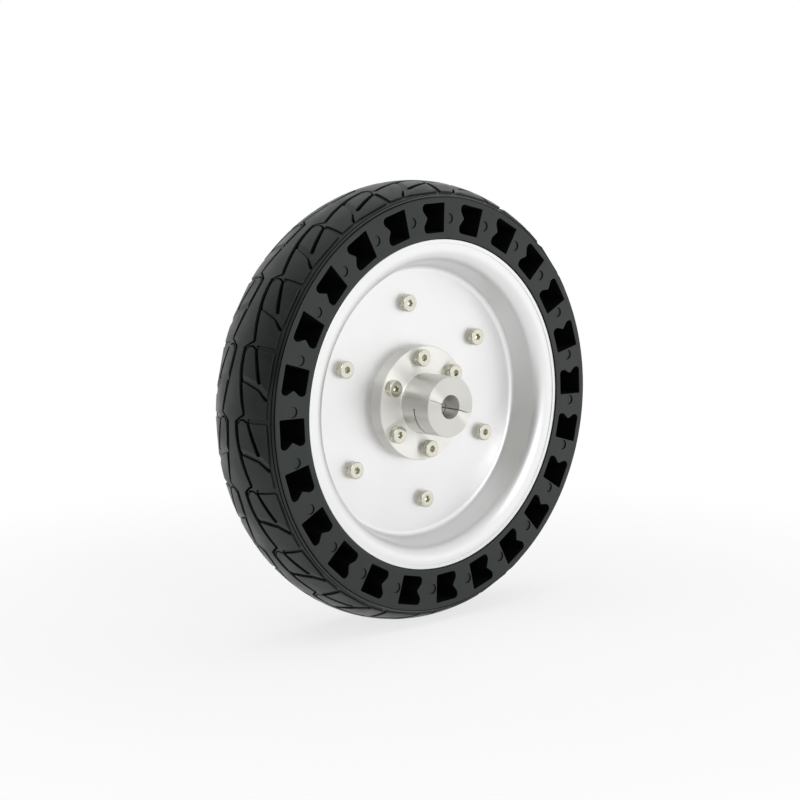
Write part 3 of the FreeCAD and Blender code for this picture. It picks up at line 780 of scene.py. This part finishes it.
def tyre_surface(settings):
    surface = Surface()
    tile, tile_faces = tread_tile(settings)
    flat, heights, sector_faces, opening = sidewall_sector(settings)
    bead = bead_section(settings)
    sidewall = settings.half_width / MM
    columns = round_angles(TYRE_COLUMNS, COLUMN_START)
    turns = [about_axle(angle) for angle in round_angles(OPENINGS, FIRST_OPENING)]
    for side in (-1, 1):
        for start in round_angles(TREAD_REPEATS, TREAD_START):
            points = [crown_point(settings, start + angle, offset, depth) for angle, offset, depth in tile]
            surface.add([Vector((x, side * y, z)) for x, y, z in points], tile_faces)
        for section in (shoulder_section(settings), bead):
            surface.rings([axle_ring(radius, side * y, columns) for radius, y in section])
        sector = [Vector((x, side * (sidewall + height), z)) for (x, z), height in zip(flat, heights)]
        for turn in turns:
            surface.add([turn @ point for point in sector], sector_faces)
    base_radius, base_y = bead[-1]
    surface.rings([axle_ring(base_radius, side * base_y, columns) for side in (-1, 1)])
    wall = sidewall - OPENING_EDGE[-1][1]
    for turn in turns:
        surface.rings([[turn @ point for point in upright(opening, y)] for y in (-wall, wall)])
    return surface


def in_shaded_recess(face, settings):
    """Whether a face of the tyre lies in a groove or an opening, or on the wall of a mark, where shade is
    painted.
    """
    x, y, z = face.center / MM
    crown_centre = settings.radius / MM - CROWN_ARC
    depth = CROWN_ARC - math.hypot(math.hypot(x, z) - crown_centre, y)
    mark_floor = abs(y) > TREAD_EDGE and abs(face.normal.y) > FLOOR_LEAN
    return depth > RECESS_DEPTH and abs(y) < RECESS_WIDTH and not mark_floor


# Rim halves: a turned section with rounded corners, and flat disc faces with their holes
RIM_COLUMNS = 240
CENTRE_HOLE = 10.1
DISC_FACE = 3.15
# Outside of the wall, at the mid-plane and behind the lip
WALL_LOW, WALL_HIGH = 69.56, 79.13
LIP_BACK = 19.3
# The lip's raised border, and the dish with its wide mouth
LIP_BORDER, LIP_STEP = 79.5, 0.4
MOUTH, MOUTH_ROUND = 71.3, 8
DISH, DISH_ROUND = 67.7, 3.0
# Screw holes, on two circles; the whole pattern is turned with the wheel
SCREWS = 6
WHEEL_TURN = 6.5
RIM_CIRCLE, HUB_CIRCLE = 50.0, 23.1
SCREW_HOLE = 2.7
HOLE_COLUMNS = 30


def hole_outlines():
    spokes = [flat_polar(SCREW_HOLE, angle) for angle in round_angles(HOLE_COLUMNS)]
    outlines = []
    for circle in (RIM_CIRCLE, HUB_CIRCLE):
        for angle in round_angles(SCREWS, 90 + WHEEL_TURN):
            place = flat_polar(circle, angle)
            outlines.append([place + spoke for spoke in spokes])
    return outlines


def rim_surface(settings, side):
    """One half, on the side of the mid-plane that side's sign gives."""
    surface = Surface()
    angles = round_angles(RIM_COLUMNS)
    lip = settings.radius / MM
    face = settings.half_width / MM
    arcs = corner_arcs([
        (CENTRE_HOLE, 0, 0.2),
        (WALL_LOW, 0, 0.5),
        (WALL_HIGH, LIP_BACK, 0.6),
        (lip, LIP_BACK, 0.3),
        (lip, face, settings.edge_round / MM),
        (LIP_BORDER, face, 0.15),
        (LIP_BORDER, face - LIP_STEP, 0.1),
        (MOUTH, face - LIP_STEP, MOUTH_ROUND),
        (DISH, DISC_FACE, DISH_ROUND),
        (CENTRE_HOLE, DISC_FACE, 0.2)], step=8)
    outer = joined(arcs[1:-1])
    inner = arcs[-1] + arcs[0]
    for run in (outer, inner):
        surface.rings([axle_ring(radius, side * y, angles) for radius, y in run])
    holes = hole_outlines()
    for start, end in ((outer[0], inner[-1]), (outer[-1], inner[0])):
        borders = [[flat_polar(corner.x, angle) for angle in angles] for corner in (start, end)]
        points, faces = sheet(borders + holes, holes + [borders[1]])
        surface.add(upright(points, side * start.y), faces)
    for hole in holes:
        surface.rings([upright(hole, side * y) for y in (0, DISC_FACE)])
    return surface


# Screws and nuts, along Y with the head to -Y, seated at y = 0. A head and a socket are given as
# width and height, a shank as its radius.
SCREW_COLUMNS = 72
DISC_SCREW = {"head": (8.5, 3.5), "shank": 2.5, "socket": (3.0, 2.3), "pitch": 0.8}
CLAMP_SCREW = {"head": (7.0, 4.0), "shank": 2.0, "socket": (3.0, 2.0), "pitch": 0.7}
CLAMP_LENGTH = 12.0
# The thread: how far it runs up, its depth in pitches, its rows a turn, and the chamfered tip
THREAD_TURNS, THREAD_DEPTH, THREAD_ROWS = 4, 0.3, 8
TIP_LENGTH = 0.35
TIP_RINGS = [(0.72, 0), (0.8, 0.05)]
# The head's lower edge as (distance in from its side, height over its seat), and the angles of the
# points round its upper edge
HEAD_FOOT = [(0.25, 0), (0.06, 0.06), (0, 0.3)]
HEAD_ARC = range(0, 91, 15)
# The knurl's lower end, and its upper ends under the rounded edge
KNURL_START, KNURL_END, KNURL_RUN_OUT = 0.45, 0.25, 0.1
# The socket's mouth and floor in shares of its width, its chamfer as (width, depth), and its drill point
SOCKET_MOUTH, SOCKET_FLOOR = 1.28, 0.9
SOCKET_CHAMFER = [(0.12, 0.02), (0, 0.16)]
DRILL_POINT = 0.5
NUT_FLATS, NUT_HEIGHT, NUT_HOLE = 8.0, 4.0, 2.55
NUT_COLUMNS = 48
# The nut's round face as a share of its width, the slope of its cut corners, and its hole's chamfer
NUT_FACE = 0.96
NUT_SLOPE = math.tan(math.radians(30))
NUT_CHAMFER = 0.35
# Each screw stops at another angle
SCREW_SPIN = 37
# The slit's angle on the wheel, and the clamp screw's seat when the slit lies level
SLIT_ANGLE = 334.7
CLAMP_SEAT = (10.5, -24.92, -4.5)


def hexagon_radius(flats, angle):
    """Distance from a hexagon's centre to its outline, with corners at 0 and every 60 degrees."""
    return flats / 2 / math.cos(math.radians((angle % 60) - 30))


def screw_surface(settings, length, head, shank, socket, pitch):
    """A socket-head screw with a knurled head and a threaded end."""
    surface = Surface()
    angles = round_angles(SCREW_COLUMNS)
    radius, top = head[0] / 2, -head[1]
    flats, depth = socket
    knurl = settings.knurl_depth / MM
    edge = settings.head_round / MM
    thread_start = length - THREAD_TURNS * pitch
    thread_end = length - TIP_LENGTH

    def ring(r, y):
        return axle_ring(r, y, angles)

    def knurled(y):
        return [polar(radius - knurl * (k % 2), angle, y) for k, angle in enumerate(angles)]

    def hexagon(grow, y):
        return [polar(hexagon_radius(flats + 2 * grow, angle), angle, y) for angle in angles]

    def thread(y):
        """Ring of a real helix that runs in over the first turn."""
        groove = THREAD_DEPTH * pitch * min(1, max(0, (y - thread_start) / pitch))
        return [polar(shank - groove * abs(2 * ((y / pitch - angle / 360) % 1) - 1), angle, y)
                for angle in angles]

    run = thread_end - thread_start
    rows = int(run / (pitch / THREAD_ROWS))
    rings = [ring(shank * share, length - back) for share, back in TIP_RINGS]
    rings += [thread(thread_end - run * row / rows) for row in range(rows + 1)]
    rings.append(ring(shank, 0.0))
    rings += [ring(radius - inward, -height) for inward, height in HEAD_FOOT]
    rings += [knurled(-KNURL_START), knurled(top + edge + KNURL_END)]
    rings.append(ring(radius, top + edge + KNURL_RUN_OUT))
    for turn in HEAD_ARC:
        lean = math.radians(turn)
        rings.append(ring(radius - edge * (1 - math.cos(lean)), top + edge * (1 - math.sin(lean))))
    rings.append(ring(flats / 2 * SOCKET_MOUTH, top))
    rings += [hexagon(grow, top + down) for grow, down in SOCKET_CHAMFER]
    rings += [hexagon(0, top + depth), ring(flats / 2 * SOCKET_FLOOR, top + depth)]
    surface.rings(rings)
    surface.fan(rings[0], Vector((0, length, 0)))
    surface.fan(rings[-1], Vector((0, top + depth + DRILL_POINT, 0)))
    return surface


def nut_surface():
    """A hexagon nut with cut corners, from y = 0 to its height."""
    surface = Surface()
    angles = round_angles(NUT_COLUMNS)
    outline = [hexagon_radius(NUT_FLATS, angle) for angle in angles]
    face = NUT_FLATS / 2 * NUT_FACE
    cuts = [(radius - face) * NUT_SLOPE for radius in outline]

    def ring(r, y):
        return axle_ring(r, y, angles)

    def corners(heights):
        return [polar(radius, angle, y) for radius, angle, y in zip(outline, angles, heights)]

    rings = [
        ring(NUT_HOLE, NUT_HEIGHT - NUT_CHAMFER), ring(NUT_HOLE + NUT_CHAMFER, NUT_HEIGHT),
        ring(face, NUT_HEIGHT), corners([NUT_HEIGHT - cut for cut in cuts]), corners(cuts),
        ring(face, 0), ring(NUT_HOLE + NUT_CHAMFER, 0), ring(NUT_HOLE, NUT_CHAMFER)]
    surface.rings(rings)
    surface.rings([rings[0], rings[-1]])
    return surface


# Stage, in metres
# The floor fades out between two radii; this share of what is seen of it is plain white
FLOOR_RADIUS = 1.5
FLOOR_COLUMNS = 64
FLOOR_FADE = (0.16, 0.4)
FLOOR_GLOW = 0.75
# Round soft lamps: name, place, width, watts, and whether shiny surfaces show them
LAMPS = (
    ("top light", (0.0, -0.1, 1.3), 2.0, 10, False),
    ("key light", (-0.3, -1.35, 0.55), 0.7, 3.6, True),
    ("front light", (1.0, -1.1, -0.15), 1.2, 0.9, True),
)
# The surround's light on matt surfaces
AMBIENT = 0.4
# Middle of the grey side that reflections show at the left
GREY_SIDE = (-0.94, -0.14, 0.3)
LIP_MIDDLE = Vector((0, -reach("rim_back_half", 1), 0))
SENSOR_WIDTH = 36
# Sets the wheel in its place in the picture
LENS_SHIFT = (-0.0497, 0.0068)


def background_rays(tree):
    """Two sockets: 1 on the camera's rays, and 1 on all rays that show the white background."""
    path = add_node(tree, "LightPath").outputs
    shiny = add_node(tree, "Math", {
        0: path["Is Glossy Ray"], 1: path["Is Transmission Ray"]}, operation="MAXIMUM")
    seen = add_node(tree, "Math", {
        0: path["Is Camera Ray"], 1: shiny.outputs["Value"]}, operation="MAXIMUM")
    return path["Is Camera Ray"], seen.outputs["Value"]


def white_paper(colour):
    """Matt white paper that keeps a soft shadow near the wheel and is gone farther out."""
    material, tree, place = new_material("matt white paper")
    distance = add_node(tree, "VectorMath", {0: place}, operation="LENGTH")
    fade = add_node(tree, "MapRange", {
        "Value": distance.outputs["Value"], "From Min": FLOOR_FADE[0], "From Max": FLOOR_FADE[1]},
        interpolation_type="SMOOTHSTEP")
    paper = add_node(tree, "BsdfDiffuse", {"Color": opaque(colour)})
    glow = add_node(tree, "Emission", {"Color": WHITE, "Strength": 1})
    _, seen = background_rays(tree)
    share = add_node(tree, "Math", {0: seen, 1: FLOOR_GLOW}, operation="MULTIPLY")
    lit = add_node(tree, "MixShader", {
        "Fac": share.outputs["Value"], 1: paper.outputs["BSDF"], 2: glow.outputs["Emission"]})
    clear = add_node(tree, "BsdfTransparent")
    mix = add_node(tree, "MixShader", {
        "Fac": fade.outputs["Result"], 1: lit.outputs["Shader"], 2: clear.outputs["BSDF"]})
    add_node(tree, "OutputMaterial", {"Surface": mix.outputs["Shader"]})
    return material


def pale_floor(settings):
    """A round white floor under the tyre that fades into the white surround."""
    mesh = bpy.data.meshes.new("floor")
    work = bmesh.new()
    bmesh.ops.create_circle(work, cap_ends=True, segments=FLOOR_COLUMNS, radius=FLOOR_RADIUS)
    work.to_mesh(mesh)
    work.free()
    mesh.materials.append(white_paper(settings.floor_colour))
    floor = bpy.data.objects.new("floor", mesh)
    floor.location.z = CAD_BOX[0].z
    bpy.context.scene.collection.objects.link(floor)


def soft_lights():
    """A large light above, a smaller one at the upper left front and a weak wide one at the right front."""
    for name, place, size, power, shown in LAMPS:
        lamp = bpy.data.lights.new(name, "AREA")
        lamp.shape = "DISK"
        lamp.size = size
        lamp.energy = power
        light = bpy.data.objects.new(name, lamp)
        light.location = place
        light.rotation_euler = (-Vector(place)).to_track_quat("-Z", "Y").to_euler()
        light.visible_glossy = shown
        bpy.context.scene.collection.objects.link(light)


def white_surround(scene):
    """White to the camera, with a grey side in reflections, and a softer light on matt surfaces."""
    world = bpy.data.worlds.new("white surround")
    scene.world = world
    tree = new_tree(world)
    camera, seen = background_rays(tree)
    way = add_node(tree, "TexCoord").outputs["Generated"]
    # In reflections the studio is white but for its left side, and its ceiling is slightly grey
    lean = add_node(tree, "VectorMath", {0: way, 1: GREY_SIDE}, operation="DOT_PRODUCT")
    side = add_node(tree, "MapRange", {
        "Value": lean.outputs["Value"], "From Min": 0.45, "From Max": 1.0, "To Min": 1.0, "To Max": 0.22})
    parts = add_node(tree, "SeparateXYZ", {"Vector": way})
    ceiling = add_node(tree, "MapRange", {
        "Value": parts.outputs["Z"], "From Min": 0.3, "From Max": 1.0, "To Min": 1.0, "To Max": 0.85})
    dimmed = add_node(tree, "Math", {
        0: side.outputs["Result"], 1: ceiling.outputs["Result"]}, operation="MULTIPLY")
    level = add_node(tree, "Math", {0: dimmed.outputs["Value"], 1: camera}, operation="MAXIMUM")
    white = add_node(tree, "Background", {"Color": WHITE, "Strength": level.outputs["Value"]})
    ambient = add_node(tree, "Background", {"Color": WHITE, "Strength": AMBIENT})
    mix = add_node(tree, "MixShader", {
        "Fac": seen, 1: ambient.outputs["Background"], 2: white.outputs["Background"]})
    add_node(tree, "OutputWorld", {"Surface": mix.outputs["Shader"]})


def photo_camera(scene, settings):
    """A camera at the photograph's viewing angle."""
    lens = bpy.data.cameras.new("camera")
    lens.lens = settings.lens
    lens.sensor_width = SENSOR_WIDTH
    lens.shift_x, lens.shift_y = LENS_SHIFT
    camera = bpy.data.objects.new("camera", lens)
    turn, rise = settings.azimuth, settings.elevation
    back = Vector((math.sin(turn) * math.cos(rise), -math.cos(turn) * math.cos(rise), math.sin(rise)))
    camera.location = LIP_MIDDLE + back * settings.distance
    camera.rotation_euler = (-back).to_track_quat("-Z", "Y").to_euler()
    scene.collection.objects.link(camera)
    scene.camera = camera


# Operators
class WheelOperator:
    """Base of the wheel's operators."""

    bl_options = {"REGISTER", "UNDO"}


class OBJECT_OT_wheel_tyre(WheelOperator, bpy.types.Operator):
    """Build the rubber tyre with its tread, openings and mould marks"""

    bl_idname = "object.wheel_tyre"
    bl_label = "Tyre"

    def execute(self, context):
        settings = context.scene.wheel_tyre
        rubber = moulded_rubber(settings.colour)
        tyre = new_piece("rubber_tyre", tyre_surface(settings), rubber, "tyre")
        # Faces in the grooves, openings and mark walls get the rubber with painted shade
        tyre.data.materials.append(recess_shade_rubber(settings.colour))
        for face in tyre.data.polygons:
            face.material_index = int(in_shaded_recess(face, settings))
        return {"FINISHED"}


class OBJECT_OT_wheel_rim(WheelOperator, bpy.types.Operator):
    """Build both dished rim halves"""

    bl_idname = "object.wheel_rim"
    bl_label = "Rim halves"

    def execute(self, context):
        settings = context.scene.wheel_rim
        satin = satin_aluminium(settings.colour)
        new_piece("front_rim", rim_surface(settings, -1), satin, "rim_front_half")
        new_piece("back_rim", rim_surface(settings, 1), satin, "rim_back_half")
        return {"FINISHED"}


class OBJECT_OT_wheel_hub(WheelOperator, bpy.types.Operator):
    """Finish the turned clamp hub, which is the CAD solid itself"""

    bl_idname = "object.wheel_hub"
    bl_label = "Hub"

    def execute(self, context):
        settings = context.scene.wheel_hub
        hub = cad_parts["hub"]
        hub.data.materials.clear()
        hub.data.materials.append(turned_aluminium(settings.colour, settings.face_highlight_colour))
        return {"FINISHED"}


class OBJECT_OT_wheel_fasteners(WheelOperator, bpy.types.Operator):
    """Build the screws, their nuts and the clamp screw"""

    bl_idname = "object.wheel_fasteners"
    bl_label = "Screws and nuts"

    def execute(self, context):
        settings = context.scene.wheel_fasteners
        nickel = nickel_plating(settings.colour)
        nut = nut_surface()
        for name, circle in (("rim", RIM_CIRCLE), ("hub", HUB_CIRCLE)):
            low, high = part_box(f"{name}_screws")
            seat = low.y / MM + DISC_SCREW["head"][1]
            screw = screw_surface(settings, high.y / MM - seat, **DISC_SCREW)
            screw_spots, nut_spots = [], []
            for k, angle in enumerate(round_angles(SCREWS, WHEEL_TURN)):
                turn = about_axle(angle)
                spin = about_axle(SCREW_SPIN * k + circle)
                screw_spots.append(turn @ Matrix.Translation((0, seat, circle)) @ spin)
                nut_spots.append(turn @ Matrix.Translation((0, DISC_FACE, circle)))
            new_piece(f"{name}_screw_set", screw.copy(screw_spots), nickel, f"{name}_screws")
            new_piece(f"{name}_nut_set", nut.copy(nut_spots), nickel, f"{name}_nuts")
        screw = screw_surface(settings, CLAMP_LENGTH, **CLAMP_SCREW)
        across_slit = Matrix.Translation(CLAMP_SEAT) @ Matrix.Rotation(math.pi / 2, 4, "X")
        spot = about_axle(WHEEL_TURN + SLIT_ANGLE) @ across_slit
        new_piece("clamp_screw_m4", screw.copy([spot]), nickel, "clamp_screw")
        return {"FINISHED"}


class SCENE_OT_wheel_stage(WheelOperator, bpy.types.Operator):
    """Set up the pale floor, the soft lights, the white surround and the camera"""

    bl_idname = "scene.wheel_stage"
    bl_label = "Stage"

    def execute(self, context):
        settings = context.scene.wheel_stage
        context.scene.view_settings.view_transform = "Standard"
        pale_floor(settings)
        soft_lights()
        white_surround(context.scene)
        photo_camera(context.scene, settings)
        return {"FINISHED"}


class VIEW3D_PT_wheel(bpy.types.Panel):
    """Lists the wheel's settings and operators"""

    bl_idname = "VIEW3D_PT_wheel"
    bl_label = "Airless wheel"
    bl_space_type = "VIEW_3D"
    bl_region_type = "UI"
    bl_category = "Wheel"

    def draw(self, context):
        for name, (group, operator) in STEPS.items():
            box = self.layout.box()
            box.operator(operator.bl_idname)
            settings = getattr(context.scene, name)
            for setting in group.__annotations__:
                box.prop(settings, setting)


# The scene's name for each group of settings, and the operator that uses it
STEPS = {
    "wheel_tyre": (TyreSettings, OBJECT_OT_wheel_tyre),
    "wheel_rim": (RimSettings, OBJECT_OT_wheel_rim),
    "wheel_hub": (HubSettings, OBJECT_OT_wheel_hub),
    "wheel_fasteners": (FastenerSettings, OBJECT_OT_wheel_fasteners),
    "wheel_stage": (StageSettings, SCENE_OT_wheel_stage),
}
CLASSES = [*joined(STEPS.values()), VIEW3D_PT_wheel]


def register():
    for item in CLASSES:
        bpy.utils.register_class(item)
    for name, (group, _) in STEPS.items():
        setattr(bpy.types.Scene, name, PointerProperty(type=group))


def unregister():
    for name in STEPS:
        delattr(bpy.types.Scene, name)
    for item in reversed(CLASSES):
        bpy.utils.unregister_class(item)


def main():
    register()
    bpy.ops.object.wheel_tyre()
    bpy.ops.object.wheel_rim()
    bpy.ops.object.wheel_hub()
    bpy.ops.object.wheel_fasteners()
    bpy.ops.scene.wheel_stage()


if __name__ == "__main__":
    main()
